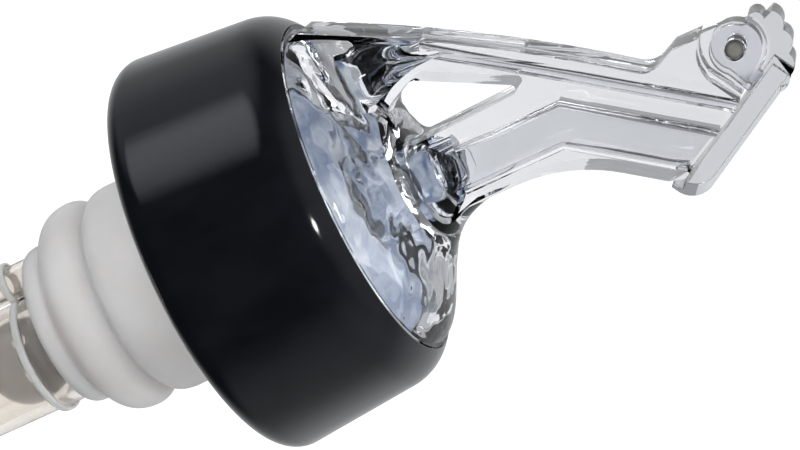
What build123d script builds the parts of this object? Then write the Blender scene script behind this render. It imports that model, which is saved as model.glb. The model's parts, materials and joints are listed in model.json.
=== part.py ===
"""Measured pour spout for a liquor bottle, with a flip-up flap over its outlet.

Millimetres, +Z up along the stopper's axis, +X towards the side that the spout leans to.
The origin is on the axis, in the plane of the collar's lower edge.
"""

import os
from math import cos, radians, sin

from build123d import *

os.makedirs("parts", exist_ok=True)

# ---------------------------------------------------------------- driving dimensions
GAP = 0.05                      # clearance between pieces that only sit together
RUNNING = 0.05                  # radial clearance of the flap on its pin

COLLAR_R = 18.8                 # at the sharp corner: 37 mm across once it is rounded
COLLAR_TOP_R = 17.1
COLLAR_H = 16.8
SKIRT_INNER_R = 16.3
SEAT_Z = 5.5                    # where the bottle's lip meets the stopper's flange
FLANGE_TOP_Z = 8.0
FLANGE_R = 15.2
SHELF_Z = 10.6                  # underside of the collar's shelf
SHELF_R = 13.2
DISC_R = 15.3                   # clear base of the spout
DISC_Z = 14.2

STEM_R = 7.6                    # core's stem inside the stopper
STEM_Z = -8.6
RIB_R = 9.8                     # fits an 18.5 to 19 mm bottle bore
STOPPER_END_Z = -14.75
STOPPER_END_R = 7.25

TUBE_X = 1.45                   # axis of the liquid side
TUBE_R = 5.2
TUBE_BORE_R = 4.3
TUBE_TOP_Z = -1.2
TUBE_END_Z = -62.0
WINDOW_Z = -32.0
BREATHER_X = -5.45              # axis of the air side
BREATHER_R = 1.55
BREATHER_BORE_R = 0.95
BREATHER_TOP_Z = -3.2
BREATHER_END_Z = -58.0

BALL_R = 3.97                   # 5/16 in cut-off ball
CHECK_BALL_R = 3.175            # 1/4 in check ball
VENT_BALL_R = 0.79              # 1/16 in vent ball

HALF_WIDTH = 3.6                # the snout's side walls, from the middle
LUG_HALF = 1.1                  # the lug between the flap's cheeks
CHEEK_GAP = 0.15
CHEEK_HALF = 2.4                # outer faces of the cheeks and the thumb tab
DUCT_HALF = 1.95
DUCT_X = 2.0                    # centre of the duct's upright leg
DUCT_HEIGHT = 4.1
LEAN = 35.4                     # the outlet leg's lean from +Z, in degrees
FACE_TILT = 60.2                # the outlet face's normal, from +Z
PIN_X, PIN_Z = 2.35, 50.0
PIN_R = 0.85
LUG_R = 2.25
FACE_D = 2.85                   # the outlet face's distance from the pin
FLAP_INNER_D = 3.2
FLAP_OUTER_D = 5.05

# unit vectors in the XZ plane
LEG = Vector(sin(radians(LEAN)), cos(radians(LEAN)))
LEG_NORMAL = Vector(cos(radians(LEAN)), -sin(radians(LEAN)))
FACE_NORMAL = Vector(sin(radians(FACE_TILT)), cos(radians(FACE_TILT)))
FACE_DOWN = Vector(cos(radians(FACE_TILT)), -sin(radians(FACE_TILT)))
PIN = Vector(PIN_X, PIN_Z)


def on_flap(along, out):
    """Point in the XZ plane, from the pin down along the outlet face and out from it."""
    return PIN + FACE_DOWN * along + FACE_NORMAL * out


def at_angle(degrees, radius):
    """Point in the XZ plane at an angle from +X and a radius round the pin."""
    return PIN + Vector(cos(radians(degrees)), sin(radians(degrees))) * radius


def leg_line(x, offset):
    """Height at x of the line parallel to the outlet leg whose normal distance is offset."""
    return (x * LEG_NORMAL.X - offset) / -LEG_NORMAL.Y


def leg_meets_face(offset):
    """Where a line parallel to the outlet leg crosses the outlet face."""
    face_offset = PIN.dot(FACE_NORMAL) + FACE_D
    start = Vector(0, leg_line(0, offset))
    return start + LEG * ((face_offset - start.dot(FACE_NORMAL)) / LEG.dot(FACE_NORMAL))


LEG_TOP = -20.2                 # the outlet leg's upper and lower inner walls
LEG_BOTTOM = -16.0
LEG_OUTSIDE = -15.3             # its outer underside
VENT_OFFSET = -22.2             # the air passage, inside the arch
VENT_R = 0.6
VENT_X = -9.0                   # where the air passage drops into the base

# ---------------------------------------------------------------- spout body
bell_sections = [               # height, centre x and radius of the clear bell
    (15.4, 0.0, 15.25),
    (17.0, 0.1, 14.3),
    (18.6, 0.3, 11.5),
    (20.4, 0.9, 7.8),
    (22.4, 1.4, 5.1),
    (25.0, 1.7, 3.75),
    (28.0, 1.9, 3.1),
]
root_sections = [               # height, centre x, half length and half width of the arch's flared root
    (15.4, -5.6, 9.4, 12.6),
    (17.2, -8.2, 6.3, 10.4),
    (19.6, -9.2, 4.4, 7.7),
    (22.4, -9.3, 2.9, 5.7),
    (25.4, -8.8, 1.7, 4.3),
    (28.4, -7.6, 1.0, 3.55),
]
hollow_sections = [
    (DISC_Z - 0.1, 0.0, 13.2),
    (15.9, 0.1, 12.1),
    (17.5, 0.4, 9.3),
    (19.2, 0.9, 6.3),
]
NECK_STEPS = [(10.0, 19.5, 3.3), (19.0, 22.2, 2.9), (22.0, 24.8, 2.55)]
SPIGOT_R = 4.2
SPIGOT_Z = 11.0

with BuildPart() as hollow:
    for height, centre, radius in hollow_sections:
        with BuildSketch(Plane.XY.offset(height)):
            with Locations((centre, 0)):
                Circle(radius)
    loft()

with BuildPart() as duct:
    with BuildSketch(Plane.XZ):
        left, right = DUCT_X - DUCT_HEIGHT / 2, DUCT_X + DUCT_HEIGHT / 2
        beyond = LEG * 22
        top_bend = Vector(left, leg_line(left, LEG_TOP))
        low_bend = Vector(right, leg_line(right, LEG_BOTTOM))
        Polygon(
            (left, 24.0), (right, 24.0), low_bend, low_bend + beyond, top_bend + beyond, top_bend,
            align=None,
        )
    extrude(amount=DUCT_HALF, both=True)
    fillet(duct.edges().filter_by(lambda e: abs(e.tangent_at(0.5).Y) < 0.01 and e.length > 8), 0.9)

# teardrop hole between the arch and the duct
with BuildPart() as teardrop:
    with BuildSketch(Plane.XZ) as teardrop_outline:
        Polygon((-7.1, 24.2), (-5.6, 21.2), (-1.9, 21.6), (-2.3, 33.4), align=None)
        fillet(teardrop_outline.vertices().sort_by(Axis.Y)[-1], 0.45)
        fillet(teardrop_outline.vertices().sort_by(Axis.Y)[:3], 1.1)
    extrude(amount=10, both=True)

with BuildPart() as spout_body:
    # bell, lofted from the wide base to the neck
    for height, centre, radius in bell_sections:
        with BuildSketch(Plane.XY.offset(height)):
            with Locations((centre, 0)):
                Circle(radius)
    loft()
    # flared root of the arch
    for height, centre, half_length, half_width in root_sections:
        with BuildSketch(Plane.XY.offset(height)):
            with Locations((centre, 0)):
                Ellipse(half_length, half_width)
    loft()
    # round base that sits in the collar
    with BuildSketch(Plane.XY.offset(DISC_Z)):
        Circle(DISC_R)
    extrude(amount=1.9)
    # arch, duct wall and snout: one outline through the middle plane
    with BuildSketch(Plane.XZ) as side:
        with BuildLine():
            chin = leg_meets_face(LEG_OUTSIDE) - LEG * 1.15    # behind the flap's lip
            under_bend = Vector(4.9, leg_line(4.9, LEG_OUTSIDE))
            lug_end = on_flap(0, LUG_R)
            face_top = on_flap(3.6, FACE_D)
            Polyline((-14.0, 15.0), (-14.75, 17.2))
            ThreePointArc((-14.75, 17.2), (-8.1, 29.3), (1.2, 42.8))
            Polyline((1.2, 42.8), (0.0, 45.4), (PIN_X - LUG_R, PIN_Z))
            ThreePointArc((PIN_X - LUG_R, PIN_Z), at_angle(105, LUG_R), lug_end)
            Polyline(
                lug_end, face_top, on_flap(11.1, FACE_D), chin, under_bend,
                (4.9, 24.0), (7.0, 18.0), (7.0, 15.0), (-14.0, 15.0),
            )
        make_face()
        fillet(side.vertices().sort_by_distance((under_bend.X, under_bend.Y))[0], 15.0)
        fillet(side.vertices().sort_by_distance((1.2, 42.8))[0], 2.0)
    extrude(amount=HALF_WIDTH, both=True)
    add(teardrop.part, mode=Mode.SUBTRACT)
    # clearance for the flap's cheeks, on both sides of the lug
    for side_sign in (1, -1):
        with BuildSketch(Plane.XZ.offset(side_sign * LUG_HALF)):
            with Locations(PIN):
                Circle(3.15)
            Polygon((PIN_X, PIN_Z - 3.15), (3.4, 46.95), (8.6, 49.95), (8.6, 54.0), (PIN_X, 54.0), align=None)
        extrude(amount=side_sign * 6, mode=Mode.SUBTRACT)
    # hollow underside, which carries air from the arch to the breather
    add(hollow.part, mode=Mode.SUBTRACT)
    with BuildSketch(Plane.XY.offset(SPIGOT_Z)):
        with Locations((TUBE_X, 0)):
            Circle(SPIGOT_R)
    extrude(amount=20.0 - SPIGOT_Z)
    for low, high, radius in NECK_STEPS:
        with BuildSketch(Plane.XY.offset(low)):
            with Locations((TUBE_X, 0)):
                Circle(radius)
        extrude(amount=high - low, mode=Mode.SUBTRACT)
    add(duct.part, mode=Mode.SUBTRACT)
    # air passage along the arch, then down into the base
    vent_mouth = leg_meets_face(VENT_OFFSET)
    vent_corner = Vector(VENT_X, leg_line(VENT_X, VENT_OFFSET))
    vent_axis = Plane(
        origin=(vent_corner.X, 0, vent_corner.Y), x_dir=(0, 1, 0), z_dir=(LEG.X, 0, LEG.Y),
    )
    with BuildSketch(vent_axis):
        Circle(VENT_R)
    extrude(amount=(vent_mouth - vent_corner).length + 1, mode=Mode.SUBTRACT)
    with BuildSketch(Plane.XY.offset(15.0)):
        with Locations((VENT_X, 0)):
            Circle(VENT_R)
    extrude(amount=vent_corner.Y - 15.0 + 0.3, mode=Mode.SUBTRACT)
    # bore for the hinge pin, which is pressed in
    with BuildSketch(Plane.XZ):
        with Locations(PIN):
            Circle(PIN_R)
    extrude(amount=6, both=True, mode=Mode.SUBTRACT)
spout_body.part.label = "spout_body"

# ---------------------------------------------------------------- collar
with BuildPart() as collar:
    with BuildSketch(Plane.XZ) as collar_section:
        Polygon(
            (SKIRT_INNER_R, 0), (COLLAR_R, 0), (COLLAR_TOP_R, COLLAR_H), (11.0, COLLAR_H),
            (11.0, SHELF_Z), (FLANGE_R + GAP, SHELF_Z), (FLANGE_R + GAP, SEAT_Z),
            (SKIRT_INNER_R, SEAT_Z - 0.6), align=None,
        )
        fillet(collar_section.vertices().sort_by_distance((COLLAR_R, 0))[0], 2.1)
        fillet(collar_section.vertices().sort_by_distance((COLLAR_TOP_R, COLLAR_H))[0], 4.8)
        with Locations((0, DISC_Z)):
            Rectangle(DISC_R + GAP, 10, align=(Align.MIN, Align.MIN), mode=Mode.SUBTRACT)
        Rectangle(SHELF_R, 40, align=(Align.MIN, Align.CENTER), mode=Mode.SUBTRACT)
    revolve(axis=Axis.Z)
collar.part.label = "collar"

# ---------------------------------------------------------------- stopper
with BuildPart() as stopper:
    with BuildSketch(Plane.XZ):
        with BuildLine():
            Polyline(
                (0, FLANGE_TOP_Z), (FLANGE_R, FLANGE_TOP_Z), (FLANGE_R, SEAT_Z), (9.65, SEAT_Z),
                (9.55, SEAT_Z - 1), (9.55, -2.0),
            )
            Spline((9.55, -2.0), (9.75, -5.0), (8.8, -7.5), tangents=[(0.05, -1), (-1, -0.35)])
            Polyline((8.8, -7.5), (8.4, -7.75), (8.4, -8.05), (8.8, -8.15))
            Spline((8.8, -8.15), (RIB_R, -10.1), (7.6, -12.8), tangents=[(1, -0.35), (-1, -0.45)])
            Polyline((7.6, -12.8), (7.3, -13.0), (7.3, -13.2))
            Spline(
                (7.3, -13.2), (7.5, -13.9), (STOPPER_END_R, STOPPER_END_Z), tangents=[(1, -0.8), (-0.8, -1)],
            )
            Polyline((STOPPER_END_R, STOPPER_END_Z), (0, STOPPER_END_Z), (0, FLANGE_TOP_Z))
        make_face()
    revolve(axis=Axis.Z)
    with BuildSketch(Plane.XY.offset(STEM_Z)):
        Circle(STEM_R + GAP)
    extrude(amount=30, mode=Mode.SUBTRACT)
    with BuildSketch(Plane.XY.offset(STOPPER_END_Z - 1)):
        with Locations((TUBE_X, 0)):
            Circle(TUBE_R + GAP)
        with Locations((BREATHER_X, 0)):
            Circle(BREATHER_R + GAP)
    extrude(amount=10, mode=Mode.SUBTRACT)
stopper.part.label = "stopper"

# ---------------------------------------------------------------- core inside the stopper
ORING_Z = 12.4
ORING_SECTION_R = 0.42
ORING_R = SPIGOT_R + ORING_SECTION_R
CORE_TOP_Z = DISC_Z - GAP

with BuildPart() as duct_core:
    with BuildSketch(Plane.XY.offset(FLANGE_TOP_Z + GAP)):
        Circle(FLANGE_R)
    extrude(amount=SHELF_Z - FLANGE_TOP_Z - 2 * GAP)
    with BuildSketch(Plane.XY.offset(STEM_Z)):
        Circle(STEM_R)
    extrude(amount=9.0 - STEM_Z)
    with BuildSketch(Plane.XY.offset(9.0)):
        Circle(SHELF_R - GAP)
    extrude(amount=CORE_TOP_Z - 9.0)
    with BuildSketch(Plane.XY.offset(-10)):        # liquid passage
        with Locations((TUBE_X, 0)):
            Circle(2.9)
    extrude(amount=30, mode=Mode.SUBTRACT)
    with BuildSketch(Plane.XY.offset(-10)):        # socket for the metering tube
        with Locations((TUBE_X, 0)):
            Circle(TUBE_R + GAP)
    extrude(amount=TUBE_TOP_Z + GAP + 10, mode=Mode.SUBTRACT)
    with BuildSketch(Plane.XY.offset(SPIGOT_Z - GAP)):    # socket for the spout's spigot
        with Locations((TUBE_X, 0)):
            Circle(SPIGOT_R + GAP)
    extrude(amount=10, mode=Mode.SUBTRACT)
    with BuildSketch(Plane.XY.offset(ORING_Z - ORING_SECTION_R - GAP)):    # groove for the seal
        with Locations((TUBE_X, 0)):
            Circle(ORING_R + ORING_SECTION_R + GAP)
    extrude(amount=2 * (ORING_SECTION_R + GAP), mode=Mode.SUBTRACT)
    with BuildSketch(Plane.XY.offset(-10)):        # air passage and breather socket
        with Locations((BREATHER_X, 0)):
            Circle(BREATHER_BORE_R)
    extrude(amount=30, mode=Mode.SUBTRACT)
    with BuildSketch(Plane.XY.offset(-10)):
        with Locations((BREATHER_X, 0)):
            Circle(BREATHER_R + GAP)
    extrude(amount=BREATHER_TOP_Z + GAP + 10, mode=Mode.SUBTRACT)
duct_core.part.label = "duct_core"

with BuildPart() as neck_oring:
    with BuildSketch(Plane.XZ):
        with Locations((ORING_R, 0)):
            Circle(ORING_SECTION_R)
    revolve(axis=Axis.Z)
neck_oring.part.position = (TUBE_X, 0, ORING_Z)
neck_oring.part.label = "neck_oring"

# ---------------------------------------------------------------- metering tube and its balls
SEAT_TOP_Z = -10.0
SEAT_END_Z = -15.4
SEAT_BORE_R = 2.6
CUTOFF_Z = -19.2                # the cut-off ball's centre, just clear of its seat
CAGE_Z = -52.0
CAGE_H = 2.0
CAP_FLOOR_Z = -64.4
CAP_Z = -66.4
CAP_R = 6.1

with BuildPart() as metering_tube:
    with BuildSketch(Plane.XY.offset(TUBE_END_Z)):
        with Locations((TUBE_X, 0)):
            Circle(TUBE_R)
            Circle(TUBE_BORE_R, mode=Mode.SUBTRACT)
    extrude(amount=TUBE_TOP_Z - TUBE_END_Z)
    # four tall inlet windows below the stopper
    for turn in (45, 135):
        window_plane = Plane(
            origin=(TUBE_X, 0, WINDOW_Z), x_dir=(-sin(radians(turn)), cos(radians(turn)), 0),
            z_dir=(cos(radians(turn)), sin(radians(turn)), 0),
        )
        with BuildSketch(window_plane):
            SlotOverall(9.0, 3.2, rotation=90)
        extrude(amount=8, both=True, mode=Mode.SUBTRACT)
metering_tube.part.label = "metering_tube"

with BuildPart() as valve_seat:
    with BuildSketch(Plane.XZ):
        with BuildLine():
            Polyline(
                (SEAT_BORE_R, SEAT_TOP_Z), (TUBE_BORE_R - GAP, SEAT_TOP_Z), (TUBE_BORE_R - GAP, SEAT_END_Z),
                (3.6, SEAT_END_Z), (SEAT_BORE_R, SEAT_END_Z + 1.4), close=True,
            )
        make_face()
    revolve(axis=Axis.Z)
valve_seat.part.position = (TUBE_X, 0, 0)
valve_seat.part.label = "valve_seat"

with BuildPart() as cutoff_ball:
    with Locations((TUBE_X, 0, CUTOFF_Z)):
        Sphere(BALL_R)
cutoff_ball.part.label = "cutoff_ball"

with BuildPart() as ball_cage:
    with BuildSketch(Plane.XY.offset(CAGE_Z - CAGE_H)):
        with Locations((TUBE_X, 0)):
            Circle(TUBE_BORE_R - GAP)
            Circle(3.3, mode=Mode.SUBTRACT)
            Rectangle(7.6, 0.9)
            Rectangle(0.9, 7.6)
            Circle(1.3)
    extrude(amount=CAGE_H)
ball_cage.part.label = "ball_cage"

with BuildPart() as check_ball:
    with Locations((TUBE_X, 0, CAP_FLOOR_Z + 4.1)):
        Sphere(CHECK_BALL_R)
check_ball.part.label = "check_ball"

with BuildPart() as tube_end_cap:
    with BuildSketch(Plane.XZ):
        with BuildLine():
            Polyline(
                (1.6, CAP_Z), (CAP_R - 0.8, CAP_Z), (CAP_R, CAP_Z + 0.8), (CAP_R, TUBE_END_Z + 4.0),
                (TUBE_R + GAP, TUBE_END_Z + 4.0), (TUBE_R + GAP, TUBE_END_Z - GAP), (3.5, TUBE_END_Z - GAP),
                (1.6, CAP_FLOOR_Z), close=True,
            )
        make_face()
    revolve(axis=Axis.Z)
    with PolarLocations(4.4, 6):
        Hole(0.5)
tube_end_cap.part.position = (TUBE_X, 0, 0)
tube_end_cap.part.label = "tube_end_cap"

# ---------------------------------------------------------------- breather
with BuildPart() as breather_tube:
    with BuildSketch(Plane.XY.offset(BREATHER_END_Z)):
        with Locations((BREATHER_X, 0)):
            Circle(BREATHER_R)
            Circle(BREATHER_BORE_R, mode=Mode.SUBTRACT)
    extrude(amount=BREATHER_TOP_Z - BREATHER_END_Z)
breather_tube.part.label = "breather_tube"

VENT_SEAT_Z = -44.0
VENT_FLOOR_Z = -56.0

with BuildPart() as vent_seat:
    with BuildSketch(Plane.XY.offset(VENT_SEAT_Z)):
        with Locations((BREATHER_X, 0)):
            Circle(BREATHER_BORE_R - 0.01)
            Circle(0.55, mode=Mode.SUBTRACT)
    extrude(amount=2.0)
vent_seat.part.label = "vent_seat"

with BuildPart() as vent_ball:
    with Locations((BREATHER_X, 0, VENT_FLOOR_Z + VENT_BALL_R + 0.05)):
        Sphere(VENT_BALL_R)
vent_ball.part.label = "vent_ball"

with BuildPart() as vent_ball_retainer:
    with BuildSketch(Plane.XY.offset(VENT_FLOOR_Z - 1.6)):
        with Locations((BREATHER_X, 0)):
            Circle(BREATHER_BORE_R - 0.01)
            Rectangle(0.5, 1.3, mode=Mode.SUBTRACT)
    extrude(amount=1.6)
vent_ball_retainer.part.label = "vent_ball_retainer"

# ---------------------------------------------------------------- clips that tie the two tubes
CLIP_WALL = 0.45
CLIP_H = 0.7


def clip_outline(grow):
    """The two tubes' outline, grown by a wall, for the sketch that is open."""
    with Locations((TUBE_X, 0)):
        Circle(TUBE_R + grow)
    with Locations((BREATHER_X, 0)):
        Circle(BREATHER_R + grow)


clip_heights = {"tube_clip_upper": -17.9, "tube_clip_lower": -46.0}
clips = {}
for clip_name, clip_z in clip_heights.items():
    with BuildPart() as tube_clip:
        with BuildSketch(Plane.XY.offset(clip_z)):
            clip_outline(CLIP_WALL)
        extrude(amount=CLIP_H)
        with BuildSketch(Plane.XY.offset(clip_z)):
            clip_outline(GAP)
        extrude(amount=CLIP_H, mode=Mode.SUBTRACT)
    tube_clip.part.label = clip_name
    clips[clip_name] = tube_clip

# ---------------------------------------------------------------- flap and its pin
TAB_INNER_R = 2.65
TAB_CORE_R = 4.35
CREST_R = 1.2
crests = [(13, 5.25), (30, 5.35), (47, 5.2), (74, 4.85), (102, 4.75)]    # angle and reach of each grip ridge
FLAP_END = 12.35
LIP_START = 11.95
LIP_OUT = 2.3

with BuildPart() as flap:
    # plate over the outlet, with a lip under the snout
    with BuildSketch(Plane.XZ) as plate:
        Polygon(
            on_flap(-1.0, FLAP_INNER_D), on_flap(-1.0, FLAP_OUTER_D), on_flap(FLAP_END, FLAP_OUTER_D),
            on_flap(FLAP_END, LIP_OUT), on_flap(LIP_START, LIP_OUT), on_flap(LIP_START, FLAP_INNER_D),
            align=None,
        )
        far_corner = on_flap(FLAP_END, FLAP_OUTER_D)
        fillet(plate.vertices().sort_by_distance((far_corner.X, far_corner.Y))[0], 2.1)
    extrude(amount=HALF_WIDTH, both=True)
    # thumb tab, a sector of a ring with rounded grip ridges
    with BuildSketch(Plane.XZ):
        with Locations(PIN):
            Circle(TAB_CORE_R)
        for angle, reach in crests:
            with Locations(at_angle(angle, reach - CREST_R)):
                Circle(CREST_R)
        Polygon(at_angle(0, 0), at_angle(112, 12), at_angle(170, 12), at_angle(230, 12), at_angle(300, 12),
                at_angle(22, 12), align=None, mode=Mode.SUBTRACT)
        with Locations(at_angle(120, 3.0)):
            Circle(0.75)
        with Locations(PIN):
            Circle(TAB_INNER_R, mode=Mode.SUBTRACT)
    extrude(amount=CHEEK_HALF, both=True)
    # cheeks on both sides of the lug
    for side_sign in (1, -1):
        with BuildSketch(Plane.XZ.offset(side_sign * (LUG_HALF + CHEEK_GAP))):
            with Locations(PIN):
                Circle(2.15)
            Polygon(
                at_angle(-88, 2.14), on_flap(2.2, FLAP_INNER_D + 0.4), at_angle(20, 4.6), at_angle(45, 4.6),
                at_angle(73, 4.2), at_angle(112, 3.4), at_angle(140, 2.14), align=None,
            )
        extrude(amount=side_sign * (CHEEK_HALF - LUG_HALF - CHEEK_GAP))
    with BuildSketch(Plane.XZ):
        with Locations(PIN):
            Circle(PIN_R + RUNNING)
    extrude(amount=6, both=True, mode=Mode.SUBTRACT)
flap.part.label = "flap"

with BuildPart() as hinge_pin:
    with BuildSketch(Plane.XZ):
        with Locations(PIN):
            Circle(PIN_R)
    extrude(amount=CHEEK_HALF - 0.15, both=True)
    chamfer(hinge_pin.edges(), 0.15)
hinge_pin.part.label = "hinge_pin"

# ---------------------------------------------------------------- export, one STEP for each piece
pieces = [
    spout_body, collar, stopper, duct_core, neck_oring, metering_tube, valve_seat, cutoff_ball, ball_cage,
    check_ball, tube_end_cap, breather_tube, vent_seat, vent_ball, vent_ball_retainer, flap, hinge_pin,
    *clips.values(),
]
for piece in pieces:
    export_step(piece.part, f"parts/{piece.part.label}.step")
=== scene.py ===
"""Looks for the measured pour spout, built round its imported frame. Metres, +Z along the stopper's axis."""

import json
from math import cos, radians, sin

import bmesh
import bpy
from mathutils import Matrix, Vector


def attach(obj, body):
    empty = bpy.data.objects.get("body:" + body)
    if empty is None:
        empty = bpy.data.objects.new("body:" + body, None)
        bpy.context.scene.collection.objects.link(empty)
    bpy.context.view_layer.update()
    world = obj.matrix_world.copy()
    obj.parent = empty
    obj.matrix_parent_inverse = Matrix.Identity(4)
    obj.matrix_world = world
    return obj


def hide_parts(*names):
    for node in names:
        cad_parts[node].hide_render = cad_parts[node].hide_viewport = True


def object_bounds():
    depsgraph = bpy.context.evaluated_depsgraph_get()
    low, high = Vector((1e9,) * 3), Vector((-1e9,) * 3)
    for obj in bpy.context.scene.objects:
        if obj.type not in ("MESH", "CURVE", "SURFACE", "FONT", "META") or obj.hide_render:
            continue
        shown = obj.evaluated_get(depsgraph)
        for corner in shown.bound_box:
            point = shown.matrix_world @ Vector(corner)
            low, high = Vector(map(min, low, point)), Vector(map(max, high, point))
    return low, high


MM = 0.001
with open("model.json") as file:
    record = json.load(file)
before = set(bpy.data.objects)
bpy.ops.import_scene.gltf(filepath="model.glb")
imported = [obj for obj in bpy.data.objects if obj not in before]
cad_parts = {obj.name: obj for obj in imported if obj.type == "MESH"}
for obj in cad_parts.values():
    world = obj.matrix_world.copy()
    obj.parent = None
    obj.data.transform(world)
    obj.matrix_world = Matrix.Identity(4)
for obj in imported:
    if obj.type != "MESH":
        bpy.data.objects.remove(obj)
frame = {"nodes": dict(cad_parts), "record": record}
nodes = frame["nodes"]
behaviour = frame["record"]["behaviour"]
cad_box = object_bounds()

flap_hinge = next(joint for joint in behaviour["joints"] if joint["name"] == "flap_hinge")
PIN_X, _, PIN_Z = flap_hinge["pos_m"]    # the hinge pin's axis


# ---------------------------------------------------------------- materials
def new_material(name, **sockets):
    """Principled material with constants set straight on its sockets. Returns it, its tree and its shader."""
    material = bpy.data.materials.new(name)
    material.use_nodes = True
    shader = material.node_tree.nodes["Principled BSDF"]
    for socket, value in sockets.items():
        shader.inputs[socket.replace("_", " ")].default_value = value
    return material, material.node_tree, shader


def noise(tree, scale, detail, stretch=(1, 1, 1)):
    """Noise over the object's own coordinates, in cycles per metre, stretched along the axes."""
    coordinates = tree.nodes.new("ShaderNodeTexCoord")
    mapping = tree.nodes.new("ShaderNodeMapping")
    mapping.inputs["Scale"].default_value = stretch
    texture = tree.nodes.new("ShaderNodeTexNoise")
    texture.inputs["Scale"].default_value = scale
    texture.inputs["Detail"].default_value = detail
    tree.links.new(coordinates.outputs["Object"], mapping.inputs["Vector"])
    tree.links.new(mapping.outputs["Vector"], texture.inputs["Vector"])
    return texture.outputs["Fac"]


def remap(tree, value, low, high, start=0.3, end=0.7):
    """Maps start..end to low..high. Left alone, start..end is the middle range of a noise."""
    node = tree.nodes.new("ShaderNodeMapRange")
    node.inputs["From Min"].default_value = start
    node.inputs["From Max"].default_value = end
    node.inputs["To Min"].default_value = low
    node.inputs["To Max"].default_value = high
    tree.links.new(value, node.inputs["Value"])
    return node.outputs["Result"]


def two_colours(tree, value, first, second, start=0.35, end=0.65):
    """Goes from one colour to another over start..end, which lies in 0..1 and suits a noise if left alone."""
    ramp = tree.nodes.new("ShaderNodeValToRGB")
    ramp.color_ramp.elements[0].position = start
    ramp.color_ramp.elements[0].color = (*first, 1)
    ramp.color_ramp.elements[1].position = end
    ramp.color_ramp.elements[1].color = (*second, 1)
    tree.links.new(value, ramp.inputs["Fac"])
    return ramp.outputs["Color"]


def over_length(tree, length, first, second, start, end):
    """Goes from one colour to another as a length in metres goes from start to end."""
    return two_colours(tree, remap(tree, length, 0, 1, start, end), first, second, 0, 1)


def by_height(tree, low, high, low_z, high_z):
    """Goes from one colour to another up the object, between two heights."""
    coordinates = tree.nodes.new("ShaderNodeTexCoord")
    split = tree.nodes.new("ShaderNodeSeparateXYZ")
    tree.links.new(coordinates.outputs["Object"], split.inputs["Vector"])
    return over_length(tree, split.outputs["Z"], low, high, low_z, high_z)


def from_pin(tree, near, far, near_distance, far_distance):
    """Goes from one colour to another away from the hinge pin's axis, between two distances."""
    coordinates = tree.nodes.new("ShaderNodeTexCoord")
    flatten = tree.nodes.new("ShaderNodeMapping")
    flatten.inputs["Location"].default_value = (-PIN_X, 0, -PIN_Z)
    flatten.inputs["Scale"].default_value = (1, 0, 1)
    length = tree.nodes.new("ShaderNodeVectorMath")
    length.operation = "LENGTH"
    tree.links.new(coordinates.outputs["Object"], flatten.inputs["Vector"])
    tree.links.new(flatten.outputs["Vector"], length.inputs[0])
    return over_length(tree, length.outputs["Value"], near, far, near_distance, far_distance)


def multiplied(tree, first, second):
    """One colour times another."""
    node = tree.nodes.new("ShaderNodeMix")
    node.data_type = "RGBA"
    node.blend_type = "MULTIPLY"
    node.inputs["Factor"].default_value = 1.0
    tree.links.new(first, node.inputs["A"])
    tree.links.new(second, node.inputs["B"])
    return node.outputs["Result"]


def bump(tree, shader, layers):
    """Adds bumps one over the other: each layer is a height and its depth in metres."""
    normal = None
    for height, depth in layers:
        node = tree.nodes.new("ShaderNodeBump")
        node.inputs["Strength"].default_value = 1.0
        node.inputs["Distance"].default_value = depth
        tree.links.new(height, node.inputs["Height"])
        if normal:
            tree.links.new(normal, node.inputs["Normal"])
        normal = node.outputs["Normal"]
    tree.links.new(normal, shader.inputs["Normal"])


def clear_plastic(name, roughness, tint, ripples=None):
    """Polished clear moulding with faint flow waves and slightly duller patches. tint makes its colour from
    the tree, and ripples makes one more layer of bumps."""
    material, tree, shader = new_material(name, IOR=1.49, Transmission_Weight=1.0)
    flow = noise(tree, 140, detail=2, stretch=(1, 1, 0.35))
    waves = two_colours(tree, flow, (0.97, 0.97, 0.97), (1, 1, 1))
    tree.links.new(multiplied(tree, waves, tint(tree)), shader.inputs["Base Color"])
    patches = noise(tree, 420, detail=4)
    tree.links.new(remap(tree, patches, 0.4 * roughness, roughness), shader.inputs["Roughness"])
    layers = [(flow, 0.06 * MM), (noise(tree, 2600, detail=2), 0.0012 * MM)]
    if ripples:
        layers.append((ripples(tree), 0.2 * MM))
    bump(tree, shader, layers)
    return material


def spout_tint(tree):
    """The thin bell at the bottom is paler than the solid arch and snout."""
    return by_height(tree, (0.9, 0.925, 0.965), (0.76, 0.772, 0.795), 19 * MM, 26 * MM)


def bell_ripples(tree):
    """Ripples in the bell that fade out up the neck."""
    node = tree.nodes.new("ShaderNodeMath")
    node.operation = "MULTIPLY"
    fade = by_height(tree, (1, 1, 1), (0, 0, 0), 18 * MM, 27 * MM)
    tree.links.new(noise(tree, 330, detail=1), node.inputs[0])
    tree.links.new(fade, node.inputs[1])
    return node.outputs["Value"]


def flap_tint(tree):
    """The thin cheeks round the pin are paler than the plate and the tab."""
    return from_pin(tree, (0.88, 0.89, 0.91), (0.62, 0.635, 0.665), 2.3 * MM, 3 * MM)


def cloudy_plastic():
    """Extruded tube, part clear and part cloudy, with draw lines along it."""
    material, tree, shader = new_material("tube_cloudy", IOR=1.47, Transmission_Weight=0.88)
    lines = noise(tree, 900, detail=3, stretch=(1, 1, 0.04))
    colours = two_colours(tree, lines, (0.85, 0.815, 0.765), (0.93, 0.9, 0.86))
    tree.links.new(colours, shader.inputs["Base Color"])
    clouds = noise(tree, 350, detail=4)
    tree.links.new(remap(tree, clouds, 0.05, 0.11), shader.inputs["Roughness"])
    bump(tree, shader, [(lines, 0.008 * MM)])
    return material


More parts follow.
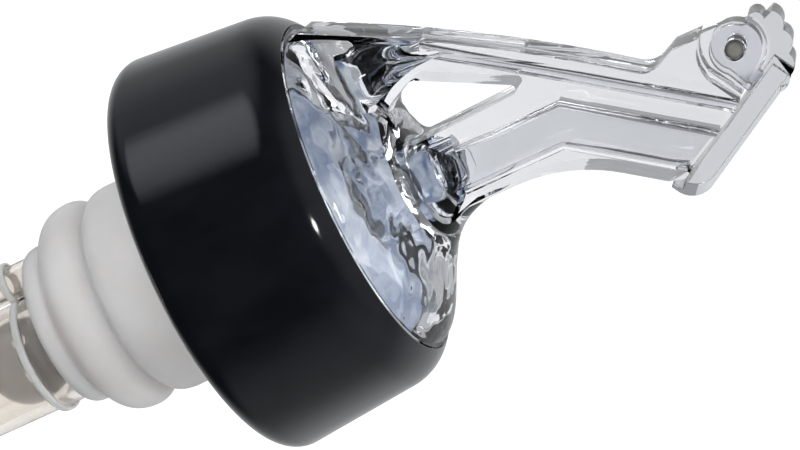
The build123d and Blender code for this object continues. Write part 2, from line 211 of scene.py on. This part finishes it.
def gloss_black():
    """Near-black gloss moulding with a faint orange peel and handling marks."""
    material, tree, shader = new_material("gloss_black", IOR=1.5, Coat_Weight=0.35, Coat_Roughness=0.06)
    smear = noise(tree, 260, detail=5, stretch=(1, 1, 0.5))
    colours = two_colours(tree, smear, (0.003, 0.0035, 0.005), (0.006, 0.0065, 0.009))
    tree.links.new(colours, shader.inputs["Base Color"])
    tree.links.new(remap(tree, smear, 0.06, 0.11), shader.inputs["Roughness"])
    orange_peel = noise(tree, 900, detail=2)
    grain = noise(tree, 9000, detail=3)
    bump(tree, shader, [(orange_peel, 0.006 * MM), (grain, 0.0006 * MM)])
    return material


def milky(name, light, dark, roughness, depth, clouds=180):
    """Cloudy plastic that light enters to a depth, in two colours; clouds is how many it has in a metre. On
    the white core the dark clouds are painted reflection: dark surroundings seen through the clear bell,
    painted onto the core.
    """
    material, tree, shader = new_material(
        name, IOR=1.45, Subsurface_Weight=1.0, Subsurface_Radius=(1.0, 0.94, 0.9), Subsurface_Scale=depth,
    )
    cloud = noise(tree, clouds, detail=4)
    tree.links.new(two_colours(tree, cloud, dark, light), shader.inputs["Base Color"])
    patches = noise(tree, 700, detail=4)
    tree.links.new(remap(tree, patches, 0.8 * roughness, 1.15 * roughness), shader.inputs["Roughness"])
    grain = noise(tree, 5200, detail=3)
    bump(tree, shader, [(cloud, 0.04 * MM), (grain, 0.003 * MM)])
    return material


def metal(name, colour, metallic, roughness, depth, stretch=(1, 1, 1), shade=None):
    """Bare steel with fine lines of a depth, drawn along an axis if stretched. roughness is its least and
    most; shade paints shade onto the colour in places."""
    material, tree, shader = new_material(name, Metallic=metallic)
    lines = noise(tree, 1600, detail=5, stretch=stretch)
    darker = [0.86 * channel for channel in colour]
    colours = two_colours(tree, lines, darker, colour)
    if shade:
        colours = multiplied(tree, colours, shade(tree))
    tree.links.new(colours, shader.inputs["Base Color"])
    tree.links.new(remap(tree, lines, *roughness), shader.inputs["Roughness"])
    bump(tree, shader, [(lines, depth)])
    return material


def painted_bore_shadow(tree):
    """Darkens the pin's end towards its rim: painted shadow of the bore round the pin."""
    return from_pin(tree, (0.75, 0.76, 0.73), (0.12, 0.12, 0.11), 0.45 * MM, 0.85 * MM)


def rubber():
    """Matt black rubber with a fine grain."""
    material, tree, shader = new_material("seal_rubber", IOR=1.5)
    grain = noise(tree, 4200, detail=4)
    colours = two_colours(tree, grain, (0.012, 0.012, 0.013), (0.03, 0.03, 0.032))
    tree.links.new(colours, shader.inputs["Base Color"])
    tree.links.new(remap(tree, grain, 0.45, 0.65), shader.inputs["Roughness"])
    bump(tree, shader, [(grain, 0.008 * MM)])
    return material


materials = {
    "clear_plastic": clear_plastic("spout_clear", 0.03, spout_tint, bell_ripples),
    "clear_flap": clear_plastic("flap_clear", 0.05, flap_tint),
    "tube_plastic": cloudy_plastic(),
    "black_gloss": gloss_black(),
    "milky_rubber": milky(
        "stopper_milky", light=(0.84, 0.82, 0.815), dark=(0.78, 0.755, 0.745), roughness=0.38, depth=4 * MM,
    ),
    "milky_plastic": milky(
        "clip_milky", light=(0.95, 0.91, 0.85), dark=(0.9, 0.85, 0.78), roughness=0.3, depth=2 * MM,
    ),
    # painted reflection: the core's dark navy clouds paint in the dark surroundings seen through the clear
    # bell
    "white_plastic": milky(
        "core_white_painted_reflection", light=(0.92, 0.95, 0.98), dark=(0.24, 0.3, 0.45), roughness=0.35, depth=0.6 * MM,
        clouds=300,
    ),
    "black_rubber": rubber(),
    # the pin's darker rim is painted shadow of the bore round it
    "steel_pin": metal(
        "pin_steel_painted_shadow", (0.62, 0.6, 0.57), metallic=0.6, roughness=(0.3, 0.42), depth=0.004 * MM,
        stretch=(1, 0.05, 1), shade=painted_bore_shadow,
    ),
    "steel_ball": metal(
        "ball_steel", (0.2, 0.19, 0.19), metallic=1.0, roughness=(0.12, 0.22), depth=0.001 * MM,
    ),
}
node_slots = {part["node"]: part["material_slot"] for part in frame["record"]["subparts"]}


def paint(piece, slot_name):
    """Gives a piece one material and clears what it came with."""
    piece.data.materials.clear()
    piece.data.materials.append(materials[slot_name])


for node_name, slot_name in node_slots.items():
    paint(nodes[node_name], slot_name)

# ---------------------------------------------------------------- pieces
EDGE_RADII = {    # millimetres by which each moulding's edges are rounded
    "spout_body": 0.22, "flap": 0.2, "collar": 0.15, "stopper": 0.18, "duct_core": 0.15,
    "metering_tube": 0.12, "valve_seat": 0.15, "ball_cage": 0.12, "tube_end_cap": 0.2,
    "breather_tube": 0.1, "tube_clip_upper": 0.15, "tube_clip_lower": 0.15,
    "vent_seat": 0.06, "vent_ball_retainer": 0.06, "hinge_pin": 0.05,
}
SAME_POINT = 0.001 * MM         # vertices nearer than this are one
FLAT_WITHIN = radians(0.6)      # faces that bend less than this become one
ROUNDED_OVER = radians(32)      # edges that bend more than this are rounded
SHARP_OVER = radians(50)        # edges that bend more than this keep a crease in the shading


def add_piece(name, mesh, body, node_name):
    """A detailed piece that stands for one CAD node."""
    piece = bpy.data.objects.new(name, mesh)
    bpy.context.scene.collection.objects.link(piece)
    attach(piece, body)
    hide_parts(node_name)
    paint(piece, node_slots[node_name])
    return piece


def add_softened(name, body, node_name, radius):
    """The CAD node's shape with moulded, rounded edges in place of its sharp ones."""
    mesh = nodes[node_name].data.copy()
    mesh.name = name
    builder = bmesh.new()
    builder.from_mesh(mesh)
    bmesh.ops.remove_doubles(builder, verts=builder.verts, dist=SAME_POINT)
    bmesh.ops.dissolve_limit(builder, angle_limit=FLAT_WITHIN, verts=builder.verts, edges=builder.edges)
    builder.to_mesh(mesh)
    builder.free()
    if "custom_normal" in mesh.attributes:
        mesh.attributes.remove(mesh.attributes["custom_normal"])
    piece = add_piece(name, mesh, body, node_name)
    edge = piece.modifiers.new("edges", "BEVEL")
    edge.width = radius
    edge.segments = 3
    edge.limit_method = "ANGLE"
    edge.angle_limit = ROUNDED_OVER
    for face in mesh.polygons:
        face.use_smooth = True
    mesh.set_sharp_from_angle(angle=SHARP_OVER)


for node_name, radius in EDGE_RADII.items():
    body = next(name for name, members in behaviour["bodies"].items() if node_name in members)
    add_softened(node_name + "_moulding", body, node_name, radius * MM)


# ---------------------------------------------------------------- camera
def direction(azimuth, elevation):
    """Unit vector from two angles in degrees, the azimuth from +X towards +Y."""
    turned, raised = radians(azimuth), radians(elevation)
    return Vector((cos(turned) * cos(raised), sin(turned) * cos(raised), sin(raised)))


AIM = Vector((4.795, 3.339, 16.178)) * MM             # the point in the middle of the picture
DISTANCE = 0.25                                       # from there to the camera
VIEW = direction(-98.0, 13.8)                         # its direction from there
ROLL = radians(65.4)                                  # its turn about that, as the object lies on its side
LEVEL = Vector((0, 0, 1)).cross(VIEW).normalized()    # the picture's right, were there no roll
RIGHT = LEVEL * cos(ROLL) + VIEW.cross(LEVEL) * sin(ROLL)
UP = VIEW.cross(RIGHT)

camera_data = bpy.data.cameras.new("camera")
camera_data.sensor_width = 36.0
camera_data.lens = 127.46
camera_data.clip_start = 0.01
camera_data.clip_end = 20.0
camera = bpy.data.objects.new("camera", camera_data)
turn = Matrix((RIGHT, UP, VIEW)).transposed().to_4x4()
camera.matrix_world = Matrix.Translation(AIM + VIEW * DISTANCE) @ turn
bpy.context.scene.collection.objects.link(camera)
bpy.context.scene.camera = camera
bpy.context.scene.view_settings.view_transform = "Standard"

# ---------------------------------------------------------------- floor
FLOOR_REACH = 6.0
FLOOR_Z = cad_box[0].z - 0.2 * MM
floor_mesh = bpy.data.meshes.new("floor")
floor_corners = [
    (x * FLOOR_REACH, y * FLOOR_REACH, FLOOR_Z) for x, y in ((-1, -1), (1, -1), (1, 1), (-1, 1))
]
floor_mesh.from_pydata(floor_corners, [], [(0, 1, 2, 3)])
floor = bpy.data.objects.new("floor", floor_mesh)
floor_mesh.materials.append(new_material(
    "floor", Base_Color=(0.2, 0.2, 0.2, 1), Roughness=0.9, Emission_Color=(1, 1, 1, 1),
    Emission_Strength=0.93,
)[0])
bpy.context.scene.collection.objects.link(floor)
floor.visible_glossy = False     # the gloss shows the studio, not the floor
floor.visible_diffuse = False    # and the floor's glow doesn't light the part from below

# ---------------------------------------------------------------- light
# the studio round the object: a pale back half, a dark side where the camera is, and soft patches of light
STUDIO = [    # azimuth, elevation, reach in degrees of the full and the faded part, strength, colour
    (82, -10, 20, 78, 0.5, (0.98, 0.99, 1.0)),
    (172, -8, 8, 42, 0.34, (0.9, 0.95, 1.0)),
    (5, 8, 15, 55, 0.24, (0.97, 0.98, 1.0)),
    (-159, -3, 4, 24, 0.95, (0.9, 0.95, 1.0)),
    (-86, 54, 2.6, 3.6, 30.0, (1.0, 1.0, 1.0)),
    (0, 90, 15, 50, 0.2, (1.0, 1.0, 1.0)),
]
world = bpy.data.worlds.new("world")
world.use_nodes = True
bpy.context.scene.world = world
studio = world.node_tree
compass = studio.nodes.new("ShaderNodeTexCoord")
total = studio.nodes["Background"]
total.inputs["Color"].default_value = (0.9, 0.93, 1.0, 1)
total.inputs["Strength"].default_value = 0.03


def with_patch(light, azimuth, elevation, full, faded, strength, colour):
    """The studio's light so far and one more round patch, which fades out at its rim."""
    facing = studio.nodes.new("ShaderNodeVectorMath")
    facing.operation = "DOT_PRODUCT"
    facing.inputs[1].default_value = direction(azimuth, elevation)
    studio.links.new(compass.outputs["Generated"], facing.inputs[0])
    fade = studio.nodes.new("ShaderNodeMapRange")
    fade.interpolation_type = "SMOOTHSTEP"
    fade.inputs["From Min"].default_value = cos(radians(faded))
    fade.inputs["From Max"].default_value = cos(radians(full))
    fade.inputs["To Max"].default_value = strength
    studio.links.new(facing.outputs["Value"], fade.inputs["Value"])
    patch = studio.nodes.new("ShaderNodeBackground")
    patch.inputs["Color"].default_value = (*colour, 1)
    studio.links.new(fade.outputs["Result"], patch.inputs["Strength"])
    both = studio.nodes.new("ShaderNodeAddShader")
    studio.links.new(light.outputs[0], both.inputs[0])
    studio.links.new(patch.outputs[0], both.inputs[1])
    return both


for patch_facts in STUDIO:
    total = with_patch(total, *patch_facts)
studio.links.new(total.outputs[0], studio.nodes["World Output"].inputs["Surface"])


def softbox(name, right, up, toward, side, power):
    """Square light, put so far from AIM to the picture's right, up and towards the camera, and facing AIM."""
    data = bpy.data.lights.new(name, "AREA")
    data.size = side
    data.energy = power
    light = bpy.data.objects.new(name, data)
    light.location = AIM + RIGHT * right + UP * up + VIEW * toward
    light.rotation_mode = "QUATERNION"
    light.rotation_quaternion = (light.location - AIM).to_track_quat("Z", "Y")
    light.visible_glossy = False    # the studio's patches are what the gloss shows
    bpy.context.scene.collection.objects.link(light)


softbox("key", -0.25, 0.45, 0.4, side=0.3, power=2.5)
softbox("fill", 0.1, -0.4, 0.5, side=0.3, power=2.3)
softbox("overhead", 0.4, 0.05, 0.12, side=0.5, power=3.4)
